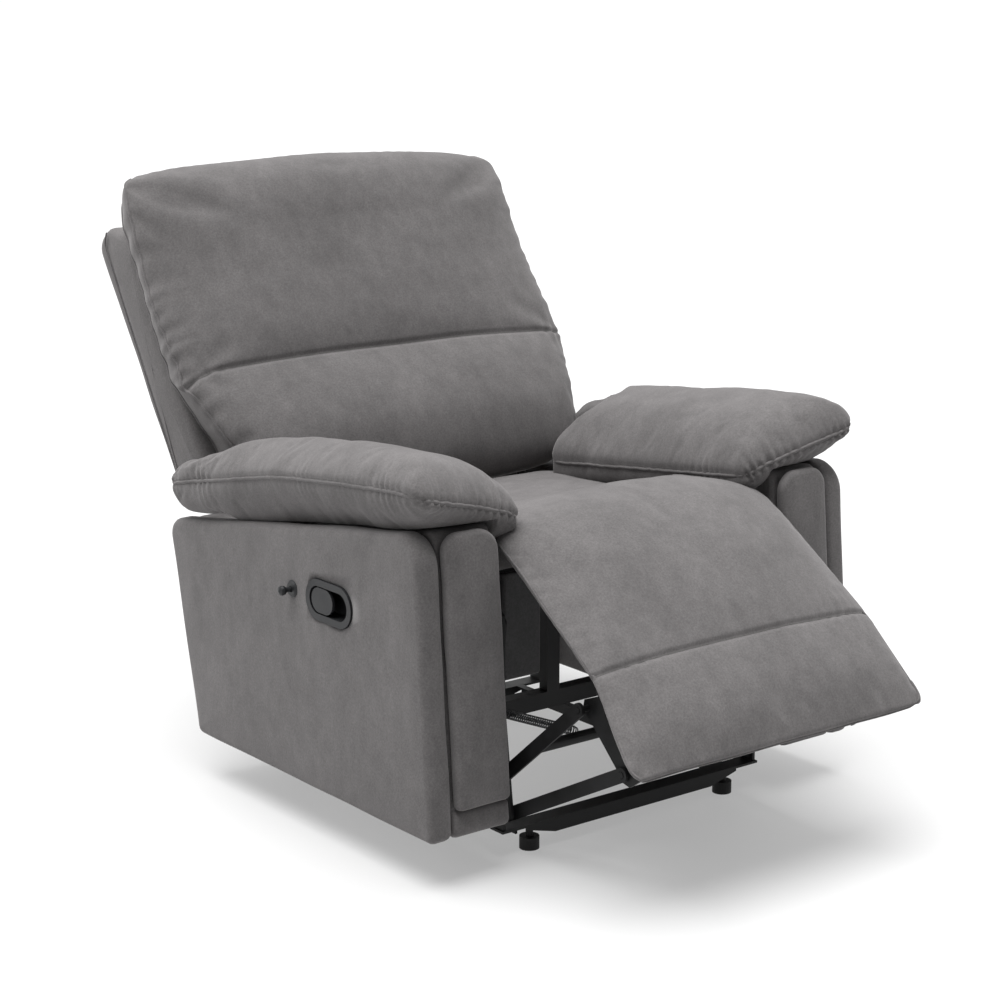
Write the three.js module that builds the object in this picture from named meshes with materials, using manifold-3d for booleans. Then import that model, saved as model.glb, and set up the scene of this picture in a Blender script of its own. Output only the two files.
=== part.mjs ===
// Recliner armchair with a manual footrest mechanism and a reclining back.
// Millimetres, +Z up. The chair faces -Y, its right-hand controls are on the -X side.
// Side outlines are lists of [y, z] points, extruded along X.
import * as THREE from "three";
import { mergeVertices } from "three/addons/utils/BufferGeometryUtils.js";
import Module from "manifold-3d";

const wasm = await Module();
wasm.setup();

// ---- driving dimensions ----
const CENTRE_Y = 5; // moves the whole chair so that its origin is under the middle of its box
const GAP = 0.3; // between pieces that touch
const ARM_OUTER = 440; // half the width over the arms
const ARM_INNER = 289; // half the width between the arms
const BOARD = 15; // arm board thickness
const BASE_TOP = 45; // top of the base frame
const FOOT_HEIGHT = 20;
const RAIL_INNER = 205; // base rails, measured from the middle
const RAIL_OUTER = 220;
const PLATE_X = [262, 267]; // steel side plates
const LINK_A1_X = [255, 260]; // the link layers, from outside to inside
const LINK_A2_X = [248, 253];
const LINK_B1_X = [241, 246];
const LINK_B2_X = [234, 239];
const BRACKET_X = [227, 232];
const LINK_HALF_WIDTH = 11;
const PIN_RADIUS = 5;
const PIN_CLEARANCE = 0.6;
const PIN_PROUD = 0.8; // how far a pin stands out of the last plate it holds
const PIN_SIDES = 12;
const BACK_PIVOT = [300, 420];
const BACK_PIVOT_RADIUS = 7;
const BACK_BRACKET_X = [256, 261];
const SWING_CENTRE = [-550, 557]; // the footrest turns about this point
const PILLOW_TILT = 8.8; // degrees that the arm pillows slope down to the rear
const SEAT_RAIL_BOTTOM = 418;
const SEAT_RAIL_TOP = 438;
const REAR_TUBE = [60, 330]; // middle of the tube across the back of the seat
const REAR_TUBE_RADIUS = 12;
const BEZEL = [-144, 393]; // middle of the release handle's bezel
const KNOB = [-40, 394]; // middle of the pull knob
const BEZEL_LENGTH = 124;
const BEZEL_HEIGHT = 66;

// Footrest pad: its face runs from the cross seam to the lower end.
const SEAM = [-577.5, 352];
const PAD_END = [-696, 226];
const PAD_LENGTH = Math.hypot(PAD_END[0] - SEAM[0], PAD_END[1] - SEAM[1]);
const PAD_THICKNESS = 55;
const PAD_HALF_WIDTH = 281;

// Link pivots. Each pair makes a parallelogram with the swing centre.
const PIVOT_A = [-335, 373];
const PIVOT_B = [-290, 420];
const BRACKET_A = [-511.7, 278.9];
const BRACKET_B = [-595, 199];
const ELBOW_A = parallelogram(PIVOT_A, BRACKET_A);
const ELBOW_B = parallelogram(PIVOT_B, BRACKET_B);

// ---- materials ----
const suede = paint(0x77736f, 0.95, 0);
const suedeDark = paint(0x5f5c59, 0.95, 0);
const steel = paint(0x17181a, 0.45, 0.7);
const wood = paint(0xa9895c, 0.8, 0);
const plastic = paint(0x27292c, 0.5, 0);
const rubber = paint(0x121212, 0.7, 0);
const wire = paint(0x55585c, 0.4, 0.8);

const chair = new THREE.Group();
chair.position.y = CENTRE_Y;

function paint(color, roughness, metalness) {
  return new THREE.MeshStandardMaterial({ color, roughness, metalness });
}

function parallelogram(pivot, bracketPin) {
  const across = bracketPin[0] - SWING_CENTRE[0];
  const up = bracketPin[1] - SWING_CENTRE[1];
  return [pivot[0] + across, pivot[1] + up];
}

// ---- geometry helpers ----
function addMesh(name, geometry, material) {
  const mesh = new THREE.Mesh(geometry, material);
  mesh.name = name;
  chair.add(mesh);
  return mesh;
}

function outline(points) {
  return new THREE.Shape(points.map(([y, z]) => new THREE.Vector2(y, z)));
}

// Turns a shape drawn in (y, z) and extruded along its normal into one that runs along X.
function layAlongX(geometry, x) {
  const turn = new THREE.Matrix4().makeBasis(
    new THREE.Vector3(0, 1, 0),
    new THREE.Vector3(0, 0, 1),
    new THREE.Vector3(1, 0, 0),
  );
  return geometry.applyMatrix4(turn).translate(x, 0, 0);
}

function prism(shape, [x0, x1], curveSegments = 6) {
  const low = Math.min(x0, x1);
  const geometry = new THREE.ExtrudeGeometry(shape, {
    depth: Math.abs(x1 - x0),
    bevelEnabled: false,
    curveSegments,
  });
  return layAlongX(geometry, low);
}

function block([x0, x1], [y0, y1], [z0, z1]) {
  const geometry = new THREE.BoxGeometry(Math.abs(x1 - x0), y1 - y0, z1 - z0);
  return geometry.translate((x0 + x1) / 2, (y0 + y1) / 2, (z0 + z1) / 2);
}

// A plate drawn in (x, z) that stands across the chair between two values of y.
function acrossPlate(points, [y0, y1]) {
  const shape = new THREE.Shape(points.map(([x, z]) => new THREE.Vector2(x, z)));
  const geometry = new THREE.ExtrudeGeometry(shape, { depth: y1 - y0, bevelEnabled: false });
  return geometry.rotateX(Math.PI / 2).translate(0, y1, 0);
}

function discAlongX([y, z], radius, [x0, x1], sides = PIN_SIDES) {
  const geometry = new THREE.CylinderGeometry(radius, radius, Math.abs(x1 - x0), sides);
  return geometry.rotateZ(Math.PI / 2).translate((x0 + x1) / 2, y, z);
}

function discAlongZ([x, y], radius, [z0, z1], sides = 24) {
  const geometry = new THREE.CylinderGeometry(radius, radius, z1 - z0, sides);
  return geometry.rotateX(Math.PI / 2).translate(x, y, (z0 + z1) / 2);
}

// A tube of round section along a list of points.
function tube(points, radius, sides, steps, tension = 0.4) {
  const corners = points.map((p) => new THREE.Vector3(...p));
  const path = new THREE.CatmullRomCurve3(corners, false, "catmullrom", tension);
  const section = new THREE.Shape();
  for (let i = 0; i < sides; i += 1) {
    const angle = (2 * Math.PI * i) / sides;
    const corner = [radius * Math.cos(angle), radius * Math.sin(angle)];
    if (i === 0) section.moveTo(...corner);
    else section.lineTo(...corner);
  }
  return new THREE.ExtrudeGeometry(section, { steps, extrudePath: path });
}

function solid(geometry) {
  const bare = geometry.index ? geometry.toNonIndexed() : geometry.clone();
  bare.deleteAttribute("normal");
  bare.deleteAttribute("uv");
  const merged = mergeVertices(bare, 1e-3);
  return new wasm.Manifold(
    new wasm.Mesh({
      numProp: 3,
      vertProperties: merged.attributes.position.array,
      triVerts: new Uint32Array(merged.index.array),
    }),
  );
}

function fromSolid(body) {
  const mesh = body.getMesh();
  const geometry = new THREE.BufferGeometry();
  geometry.setAttribute("position", new THREE.BufferAttribute(mesh.vertProperties, 3));
  geometry.setIndex(new THREE.BufferAttribute(mesh.triVerts, 1));
  geometry.computeVertexNormals();
  return geometry;
}

function join(first, ...others) {
  return fromSolid(others.reduce((sum, g) => sum.add(solid(g)), solid(first)));
}

function cut(first, ...others) {
  return fromSolid(others.reduce((sum, g) => sum.subtract(solid(g)), solid(first)));
}

// A stadium-shaped link plate between two pivots, with a running hole at each pivot in `holes`.
function linkShape(from, to, halfWidth, holes) {
  const angle = Math.atan2(to[1] - from[1], to[0] - from[0]);
  const shape = new THREE.Shape();
  shape.absarc(from[0], from[1], halfWidth, angle + Math.PI / 2, angle + (3 * Math.PI) / 2);
  shape.absarc(to[0], to[1], halfWidth, angle - Math.PI / 2, angle + Math.PI / 2);
  for (const [y, z] of holes) {
    const hole = new THREE.Path();
    hole.absarc(y, z, PIN_RADIUS + PIN_CLEARANCE, 0, 2 * Math.PI, true);
    shape.holes.push(hole);
  }
  return shape;
}

// Both sides of the chair: side is -1 for the chair's right arm (-X) and 1 for its left.
function bothSides(build) {
  build(-1, "right");
  build(1, "left");
}

function mirrored(side, [x0, x1]) {
  return [side * x0, side * x1];
}

// ---- base ----
function baseFrame() {
  const front = [-355, -323];
  const rear = [214, 246];
  const flange = 4;
  const reach = PLATE_X[1] + 3;
  const taperFrom = 165; // the bars' upright flanges narrow from here to the feet
  const taperTo = 222;
  for (const [name, [y0, y1]] of [["base_front_bar", front], ["base_rear_bar", rear]]) {
    const upright = acrossPlate(
      [[-taperTo, BASE_TOP], [-taperTo, BASE_TOP - 8], [-taperFrom, FOOT_HEIGHT + 2],
        [taperFrom, FOOT_HEIGHT + 2], [taperTo, BASE_TOP - 8], [taperTo, BASE_TOP]],
      [y0, y0 + flange],
    );
    const flat = block([-reach, reach], [y0, y1], [BASE_TOP - flange, BASE_TOP]);
    addMesh(name, join(flat, upright), steel);
  }
  bothSides((side, label) => {
    const wall = block(
      mirrored(side, [RAIL_OUTER - flange, RAIL_OUTER]),
      [front[1] + GAP, rear[0] - GAP],
      [FOOT_HEIGHT + GAP, BASE_TOP],
    );
    const shelf = block(
      mirrored(side, [RAIL_INNER, RAIL_OUTER]),
      [front[1] + GAP, rear[0] - GAP],
      [BASE_TOP - flange, BASE_TOP],
    );
    addMesh(`base_rail_${label}`, join(wall, shelf), steel);
    for (const [end, y] of [["front", -339], ["rear", 230]]) {
      const stem = discAlongZ([side * RAIL_INNER, y], 6, [FOOT_HEIGHT - 2, BASE_TOP - flange - GAP], 12);
      const pad = discAlongZ([side * RAIL_INNER, y], 16, [0, FOOT_HEIGHT], 24);
      addMesh(`foot_${end}_${label}`, join(pad, stem), rubber);
    }
  });
}

// ---- mechanism ----
function sidePlates() {
  const plate = [
    [-352, BASE_TOP + GAP], [-322, BASE_TOP + GAP], [-318, 200], [-250, 300], [120, 300],
    [196, 200], [214, BASE_TOP + GAP], [246, BASE_TOP + GAP], [238, 220], [262, 340],
    [322, 402], [322, 434], [-296, 434], [-350, 388],
  ];
  bothSides((side, label) => {
    const sheet = prism(outline(plate), mirrored(side, PLATE_X));
    const pinA = discAlongX(PIVOT_A, PIN_RADIUS, mirrored(side, [LINK_A1_X[0] - PIN_PROUD, PLATE_X[1]]));
    const pinB = discAlongX(PIVOT_B, PIN_RADIUS, mirrored(side, [LINK_B1_X[0] - PIN_PROUD, PLATE_X[1]]));
    const pivot = discAlongX(
      BACK_PIVOT, BACK_PIVOT_RADIUS, mirrored(side, [BACK_BRACKET_X[0] + GAP, PLATE_X[1]]), 16);
    addMesh(`side_plate_${label}`, join(sheet, pinA, pinB, pivot), steel);
  });
}

function links() {
  const tubeAt = 0.53; // how far up the lifting link the cross tube sits
  bothSides((side, label) => {
    const swingA = prism(linkShape(PIVOT_A, ELBOW_A, LINK_HALF_WIDTH, [PIVOT_A]), mirrored(side, LINK_A1_X));
    const elbowA = discAlongX(ELBOW_A, PIN_RADIUS, mirrored(side, [LINK_A2_X[0] - PIN_PROUD, LINK_A1_X[1]]));
    addMesh(`swing_link_front_${label}`, join(swingA, elbowA), steel);
    const liftA = linkShape(ELBOW_A, BRACKET_A, LINK_HALF_WIDTH, [ELBOW_A, BRACKET_A]);
    addMesh(`lift_link_upper_${label}`, prism(liftA, mirrored(side, LINK_A2_X)), steel);
    const swingB = prism(linkShape(PIVOT_B, ELBOW_B, LINK_HALF_WIDTH, [PIVOT_B]), mirrored(side, LINK_B1_X));
    const elbowB = discAlongX(ELBOW_B, PIN_RADIUS, mirrored(side, [LINK_B2_X[0] - PIN_PROUD, LINK_B1_X[1]]));
    addMesh(`swing_link_rear_${label}`, join(swingB, elbowB), steel);
    const liftB = linkShape(ELBOW_B, BRACKET_B, LINK_HALF_WIDTH, [ELBOW_B, BRACKET_B]);
    addMesh(`lift_link_lower_${label}`, prism(liftB, mirrored(side, LINK_B2_X)), steel);
  });
  const y = ELBOW_A[0] + tubeAt * (BRACKET_A[0] - ELBOW_A[0]);
  const z = ELBOW_A[1] + tubeAt * (BRACKET_A[1] - ELBOW_A[1]);
  const end = LINK_A2_X[0] - GAP;
  addMesh("lift_cross_tube", discAlongX([y, z], 9, [-end, end], 16), steel);
}

function fixedCrossParts() {
  const barY = [-190, -165];
  const barZ = [158, 186];
  const uprightX = [-50, -24];
  const pieces = [block(uprightX, [barY[0], barY[1] - 5], [barZ[1] - 1, SEAT_RAIL_BOTTOM - GAP])];
  bothSides((side) => {
    pieces.push(block(mirrored(side, [RAIL_INNER, RAIL_OUTER]), barY, [BASE_TOP + GAP, barZ[0] + 1]));
  });
  const bar = block([-RAIL_OUTER, RAIL_OUTER], barY, barZ);
  addMesh("mechanism_crossbar", join(bar, ...pieces), steel);
  const end = PLATE_X[0] - GAP;
  addMesh("rear_cross_tube", discAlongX(REAR_TUBE, REAR_TUBE_RADIUS, [-end, end], 16), steel);
}

function extensionSprings() {
  bothSides((side, label) => {
    const x = side * 150;
    const points = [[x, -192, 172], [x, -250, 178], [x, -340, 186], [x, -399, 193]];
    addMesh(`extension_spring_${label}`, tube(points, 8, 8, 10), wire);
  });
}

// ---- seat ----
function seatFrame() {
  const end = PLATE_X[0] - 0.7;
  const frontY = [-240, -160];
  const rearY = [180, 206];
  addMesh("seat_front_rail", block([-end, end], frontY, [SEAT_RAIL_BOTTOM, SEAT_RAIL_TOP]), wood);
  addMesh("seat_rear_rail", block([-end, end], rearY, [398, SEAT_RAIL_TOP]), wood);
  bothSides((side, label) => {
    const rail = block(mirrored(side, [PLATE_X[1] + GAP, ARM_INNER - GAP]), [-300, 200], [385, SEAT_RAIL_TOP]);
    addMesh(`seat_side_rail_${label}`, rail, wood);
  });
  // Zigzag springs between the front and rear rails.
  const waves = 7;
  const amplitude = 18;
  const start = frontY[1] + 1.5;
  const length = rearY[0] - 1.5 - start;
  [-130, 0, 130].forEach((x, index) => {
    const points = [];
    for (let i = 0; i <= waves * 2; i += 1) {
      const sway = i === 0 || i === waves * 2 ? 0 : amplitude * (i % 2 ? 1 : -1);
      points.push([x + sway, start + (length * i) / (waves * 2), SEAT_RAIL_TOP - 8]);
    }
    addMesh(`seat_spring_${index + 1}`, tube(points, 2, 6, 56, 0.5), wire);
  });
}

function seatCushions() {
  // The arm pillows hang over the sides of the seat, so its upper half is narrower.
  // Its top falls away behind the chaise pad.
  const lower = [[-302, 440], [190, 440], [190, 464], [-302, 464]];
  const upper = [[-302, 463], [190, 463], [190, 468], [-20, 474], [-182, 506], [-288, 506], [-302, 492]];
  const wide = ARM_INNER - 4;
  const narrow = 229;
  addMesh("seat_cushion", join(
    prism(outline(lower), [-wide, wide]),
    prism(outline(upper), [-narrow, narrow]),
  ), suede);
  // The chaise pad lies over the front of the seat and runs down to the footrest's seam.
  const chaise = [
    [-185, 507.5], [-303.5, 507.5], [-306, 450], [-345, 432], [-420, 392], [-484, 345], padPoint(-1, 54),
    padPoint(-1, 0), [-531, 400], [-466, 448], [-400, 486], [-338, 512], [-300, 524], [-200, 516],
  ];
  addMesh("chaise_pad", prism(outline(chaise), [-PAD_HALF_WIDTH, PAD_HALF_WIDTH]), suede);
}

function frontWings() {
  bothSides((side, label) => {
    const panel = block(mirrored(side, [152, 224]), [-300, -290], [265, SEAT_RAIL_TOP - 1]);
    addMesh(`front_wing_${label}`, panel, suedeDark);
  });
}

// ---- footrest ----
// A point on the footrest, from the seam along the face and inwards from the face.
function padPoint(along, inward) {
  const alongY = (PAD_END[0] - SEAM[0]) / PAD_LENGTH;
  const alongZ = (PAD_END[1] - SEAM[1]) / PAD_LENGTH;
  return [SEAM[0] + along * alongY - inward * alongZ, SEAM[1] + along * alongZ + inward * alongY];
}

function footrest() {
  const round = 14;
  const pad = [
    padPoint(1, 0), padPoint(PAD_LENGTH - round, 0), padPoint(PAD_LENGTH, round),
    padPoint(PAD_LENGTH - 4, PAD_THICKNESS), padPoint(1, PAD_THICKNESS),
  ];
  addMesh("footrest_pad", prism(outline(pad), [-PAD_HALF_WIDTH - 4, PAD_HALF_WIDTH + 4]), suede);
  const boardIn = PAD_THICKNESS + GAP;
  const board = [
    padPoint(4, boardIn), padPoint(PAD_LENGTH - 12, boardIn),
    padPoint(PAD_LENGTH - 12, boardIn + 12), padPoint(4, boardIn + 12),
  ];
  addMesh("footrest_board", prism(outline(board), [-255, 255]), wood);
  const under = boardIn + 12 + GAP;
  const bracket = [
    padPoint(6, under), padPoint(148, under), padPoint(144, 96), padPoint(130, 106),
    padPoint(112, 104), padPoint(28, 108), padPoint(4, 112), padPoint(-6, 98),
  ];
  bothSides((side, label) => {
    const sheet = prism(outline(bracket), mirrored(side, BRACKET_X));
    const foot = prism(
      outline([padPoint(6, under), padPoint(148, under), padPoint(148, under + 3), padPoint(6, under + 3)]),
      mirrored(side, [BRACKET_X[0] - 22, BRACKET_X[1]]));
    const pinA = discAlongX(BRACKET_A, PIN_RADIUS, mirrored(side, [BRACKET_X[0], LINK_A2_X[1] + PIN_PROUD]));
    const pinB = discAlongX(BRACKET_B, PIN_RADIUS, mirrored(side, [BRACKET_X[0], LINK_B2_X[1] + PIN_PROUD]));
    addMesh(`footrest_bracket_${label}`, join(sheet, foot, pinA, pinB), steel);
  });
}

// ---- arms ----
const ARM_FRONT_LOW = [-403, 73];
const ARM_FRONT_TOP = [-363, 543];
const ARM_REAR_LOW = [272, 73];
const ARM_REAR_TOP = [350, 433];

// A point on the line between two corners of the arm's side outline.
function between(a, b, t) {
  return [a[0] + (b[0] - a[0]) * t, a[1] + (b[1] - a[1]) * t];
}

// The height of the arm's sloping top edge at y.
function armTop(y) {
  const t = (y - ARM_FRONT_TOP[0]) / (ARM_REAR_TOP[0] - ARM_FRONT_TOP[0]);
  return between(ARM_FRONT_TOP, ARM_REAR_TOP, t)[1];
}

function racetrack([y, z], length, height) {
  const shape = new THREE.Shape();
  const reach = (length - height) / 2;
  shape.absarc(y + reach, z, height / 2, -Math.PI / 2, Math.PI / 2);
  shape.absarc(y - reach, z, height / 2, Math.PI / 2, (3 * Math.PI) / 2);
  return shape;
}

function arms() {
  const inset = BOARD + GAP;
  const outerX = [ARM_OUTER - BOARD, ARM_OUTER];
  const innerX = [ARM_INNER, ARM_INNER + BOARD];
  const middleX = [innerX[1] + GAP, outerX[0] - GAP];
  const side = [ARM_FRONT_LOW, ARM_REAR_LOW, ARM_REAR_TOP, ARM_FRONT_TOP];
  const lowEdge = 100; // the inner panel stops short of the outer one
  const lean = (lowEdge - ARM_FRONT_LOW[1]) / (ARM_FRONT_TOP[1] - ARM_FRONT_LOW[1]);
  const behindFront = [
    [between(ARM_FRONT_LOW, ARM_FRONT_TOP, lean)[0] + inset, lowEdge], [270, lowEdge],
    [ARM_REAR_TOP[0] - 14, ARM_REAR_TOP[1] + 2],
    [ARM_FRONT_TOP[0] + inset, armTop(ARM_FRONT_TOP[0] + inset)],
  ];
  const front = [
    ARM_FRONT_LOW, [ARM_FRONT_LOW[0] + BOARD, ARM_FRONT_LOW[1]],
    [ARM_FRONT_TOP[0] + BOARD, armTop(ARM_FRONT_TOP[0] + BOARD)], ARM_FRONT_TOP,
  ];
  const top = [
    [-340, armTop(-340) - BOARD], [340, armTop(340) - BOARD], [340, armTop(340)], [-340, armTop(-340)],
  ];
  const rear = [
    [ARM_REAR_LOW[0] - 18, ARM_REAR_LOW[1]], ARM_REAR_LOW, [340, armTop(340) - 5], [322, armTop(340) - 5],
  ];
  bothSides((s, label) => {
    let outer = prism(outline(side), mirrored(s, outerX));
    if (s < 0) {
      const reach = [-ARM_OUTER - 1, -ARM_OUTER + BOARD + 1];
      const bezelHole = prism(racetrack(BEZEL, BEZEL_LENGTH - 12, BEZEL_HEIGHT - 12), reach);
      outer = cut(outer, bezelHole, discAlongX(KNOB, 6, reach));
    }
    addMesh(`arm_outer_panel_${label}`, outer, suede);
    addMesh(`arm_inner_panel_${label}`, prism(outline(behindFront), mirrored(s, innerX)), suede);
    addMesh(`arm_front_panel_${label}`, prism(outline(front), mirrored(s, [ARM_INNER, outerX[0] - GAP])), suede);
    const core = join(prism(outline(top), mirrored(s, middleX)), prism(outline(rear), mirrored(s, middleX)));
    addMesh(`arm_top_and_rear_${label}`, core, suede);
    armFrontPad(s, label);
    armPillow(s, label);
  });
}

function armFrontPad(side, label) {
  const low = between(ARM_FRONT_LOW, ARM_FRONT_TOP, 0.09);
  const high = between(ARM_FRONT_LOW, ARM_FRONT_TOP, 0.86);
  const thick = 14;
  const pad = [
    [low[0] - GAP, low[1]], [high[0] - GAP, high[1]],
    [high[0] - thick + 3, high[1] - 3], [high[0] - thick, high[1] - 10],
    [low[0] - thick, low[1] + 8], [low[0] - thick + 3, low[1] + 2],
  ];
  addMesh(`arm_front_pad_${label}`, prism(outline(pad), mirrored(side, [ARM_INNER + 2, 396])), suede);
}

// The pillow is drawn in plan, extruded upwards and tilted to lie on the arm's sloping top.
function armPillow(side, label) {
  const plan = [
    [232, -335], [250, -372], [400, -388], [442, -378], [449, -340],
    [449, 310], [438, 322], [414, 316], [404, 190], [232, 140],
  ];
  const middle = 40; // height of the upright edge, between the sloping ones
  const slope = 22; // height of each sloping edge
  const slopeIn = 4;
  const lift = 2; // keeps the underside clear of the arm
  const shape = new THREE.Shape(plan.map(([x, y]) => new THREE.Vector2(side * x, y)));
  const pillow = new THREE.ExtrudeGeometry(shape, {
    depth: middle,
    bevelEnabled: true,
    bevelThickness: slope,
    bevelSize: slopeIn,
    bevelOffset: -slopeIn,
    bevelSegments: 1,
  });
  pillow.translate(0, 0, slope).rotateX(THREE.MathUtils.degToRad(-PILLOW_TILT)).translate(0, 0, armTop(0) + lift);
  addMesh(`arm_pillow_${label}`, pillow, suede);
}

// ---- controls on the right arm ----
function handle() {
  const face = -ARM_OUTER;
  const proud = face - 5;
  const floor = face + 20;
  const wall = 4;
  const flange = prism(racetrack(BEZEL, BEZEL_LENGTH, BEZEL_HEIGHT), [proud, face - GAP]);
  const body = prism(racetrack(BEZEL, BEZEL_LENGTH - 14, BEZEL_HEIGHT - 14), [face - 1, floor + wall]);
  const pocket = prism(racetrack(BEZEL, BEZEL_LENGTH - 22, BEZEL_HEIGHT - 22), [proud - 1, floor]);
  addMesh("handle_bezel", cut(join(flange, body), pocket), plastic);
  // The lever is hinged at its rear end, and the fingers go in behind its front end.
  const hinge = [proud + 9, BEZEL[0] + 38];
  const blade = prism(racetrack([BEZEL[0] + 17, BEZEL[1]], 58, 40), [proud + 0.5, proud + 5]);
  const knuckle = discAlongZ(hinge, 4.5, [BEZEL[1] - 14, BEZEL[1] + 14], 12);
  const bore = discAlongZ(hinge, 2.6, [BEZEL[1] - 20, BEZEL[1] + 20], 12);
  addMesh("release_lever", cut(join(blade, knuckle), bore), plastic);
  addMesh("lever_pin", discAlongZ(hinge, 2, [BEZEL[1] - 18.8, BEZEL[1] + 18.8], 12), steel);
}

// A piece turned about the pull knob's line: profile points are [radius, height above the arm].
function turned(profile, out, sides) {
  const lathe = new THREE.LatheGeometry(profile.map(([r, h]) => new THREE.Vector2(r, h)), sides);
  return lathe.rotateZ(Math.PI / 2).translate(-ARM_OUTER - out, KNOB[0], KNOB[1]);
}

function pullKnob() {
  const ring = [[5, 0], [14, 0], [14, 2], [11, 5], [5, 5], [5, 0]];
  addMesh("knob_escutcheon", turned(ring, GAP, 24), plastic);
  const stem = [[0, -24], [5.5, -24], [5.5, -20], [4, -20], [4, 14], [7, 17], [8, 21], [7, 25], [0, 28]];
  addMesh("pull_knob", turned(stem, 0, 20), plastic);
}

function releaseCable() {
  const points = [
    [-412, -150, 366], [-408, -140, 300], [-400, -80, 180], [-390, -20, 110], [-360, 20, 84],
    [-300, 40, 78], [-240, 52, 84], [-200, 58, 140], [-195, 60, 230], [-195, 60, 300],
    [-195, REAR_TUBE[0], REAR_TUBE[1] - REAR_TUBE_RADIUS - 0.5],
  ];
  addMesh("release_cable", tube(points, 2.5, 8, 44, 0.5), rubber);
}

// ---- back ----
function backRest() {
  const wide = [[304, 485], [396, 425], [679, 861], [668, 884], [640, 893], [551, 886]];
  const lower = [[266, 427], [358, 367], [396, 426], [312, 498]];
  addMesh("back_frame", join(
    prism(outline(wide), [-374, 374]),
    prism(outline(lower), [-255.5, 255.5]),
  ), suede);
  const bracket = [[284, 432], [284, 408], [300, 402], [330, 402], [352, 400], [388, 422], [312, 472]];
  bothSides((side, label) => {
    const sheet = prism(outline(bracket), mirrored(side, BACK_BRACKET_X));
    const hole = discAlongX(BACK_PIVOT, BACK_PIVOT_RADIUS + PIN_CLEARANCE, mirrored(side, [250, 266]), 16);
    addMesh(`back_bracket_${label}`, cut(sheet, hole), steel);
  });
  const cushionWide = [
    [226, 503], [258, 564], [340, 665], [402, 741], [450, 805], [494, 902], [522, 966],
    [542, 990], [566, 984], [574, 940], [550.4, 886.6], [303, 485.6],
  ];
  const cushionLow = [[226, 503], [303, 485.6], [302.5, 485.2], [262, 428], [222, 462], [215, 480]];
  addMesh("back_cushion", join(
    prism(outline(cushionWide), [-398, 398]),
    prism(outline(cushionLow), [-254, 254]),
  ), suede);
}

baseFrame();
sidePlates();
links();
fixedCrossParts();
extensionSprings();
seatFrame();
seatCushions();
frontWings();
footrest();
arms();
handle();
pullKnob();
releaseCable();
backRest();

export default chair;
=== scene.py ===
"""Recliner armchair: upholstery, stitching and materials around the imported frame. Lengths are in metres."""
import math

import bmesh
import bpy
import numpy as np
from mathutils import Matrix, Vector
from mathutils.kdtree import KDTree


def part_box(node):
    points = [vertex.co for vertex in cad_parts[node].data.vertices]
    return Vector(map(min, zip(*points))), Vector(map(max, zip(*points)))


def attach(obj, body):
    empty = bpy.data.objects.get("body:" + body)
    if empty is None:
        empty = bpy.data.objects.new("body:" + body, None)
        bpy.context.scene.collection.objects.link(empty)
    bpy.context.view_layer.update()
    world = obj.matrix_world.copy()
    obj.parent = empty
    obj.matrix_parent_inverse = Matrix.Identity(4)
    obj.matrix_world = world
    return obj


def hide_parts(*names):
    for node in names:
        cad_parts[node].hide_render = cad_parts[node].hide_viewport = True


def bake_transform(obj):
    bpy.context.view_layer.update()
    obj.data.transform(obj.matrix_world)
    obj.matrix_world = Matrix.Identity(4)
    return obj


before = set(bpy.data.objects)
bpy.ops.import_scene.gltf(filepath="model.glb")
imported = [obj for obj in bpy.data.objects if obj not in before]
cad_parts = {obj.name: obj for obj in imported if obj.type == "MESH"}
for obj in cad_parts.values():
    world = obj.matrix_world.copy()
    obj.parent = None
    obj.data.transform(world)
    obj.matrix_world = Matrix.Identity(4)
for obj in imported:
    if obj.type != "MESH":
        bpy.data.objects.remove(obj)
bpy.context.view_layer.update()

# ---- driving dimensions, read from the frame ----
ARM_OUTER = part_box("arm_outer_panel_left")[1][0]
ARM_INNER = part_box("arm_inner_panel_left")[0][0]
ARM_FRONT_FOOT = -0.403  # the arm's lower front corner, in the chair's own y
CHAIR_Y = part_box("arm_outer_panel_left")[0][1] - ARM_FRONT_FOOT  # from the chair's own y to the frame's


# ---- camera ----
VIEW_AZIMUTH = math.radians(-37.8)
VIEW_ELEVATION = math.radians(13.1)
VIEW_DISTANCE = 3.94
VIEW_HEIGHT = 0.466
LENS = 84.3
SENSOR = 36.0
VIEW_REACH = 60  # how far the camera sees


def add_camera():
    data = bpy.data.cameras.new("camera")
    data.lens = LENS
    data.sensor_width = SENSOR
    data.clip_end = VIEW_REACH
    camera = bpy.data.objects.new("camera", data)
    bpy.context.scene.collection.objects.link(camera)
    target = Vector((0, CHAIR_Y, VIEW_HEIGHT))
    back = Vector((
        math.sin(VIEW_AZIMUTH) * math.cos(VIEW_ELEVATION),
        -math.cos(VIEW_AZIMUTH) * math.cos(VIEW_ELEVATION),
        math.sin(VIEW_ELEVATION),
    ))
    camera.location = target + back * VIEW_DISTANCE
    camera.rotation_euler = (-back).to_track_quat("-Z", "Y").to_euler()
    bpy.context.scene.camera = camera


# ---- materials ----
def node_material(name):
    material = bpy.data.materials.new(name)
    material.use_nodes = True
    tree = material.node_tree
    return material, tree, tree.nodes["Principled BSDF"]


def noise_node(tree, scale, detail=4.0, roughness=0.55, stretch=(1, 1, 1)):
    coords = tree.nodes.new("ShaderNodeTexCoord")
    mapping = tree.nodes.new("ShaderNodeMapping")
    mapping.inputs["Scale"].default_value = stretch
    noise = tree.nodes.new("ShaderNodeTexNoise")
    noise.inputs["Scale"].default_value = scale
    noise.inputs["Detail"].default_value = detail
    noise.inputs["Roughness"].default_value = roughness
    tree.links.new(coords.outputs["Object"], mapping.inputs["Vector"])
    tree.links.new(mapping.outputs["Vector"], noise.inputs["Vector"])
    return noise


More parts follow.
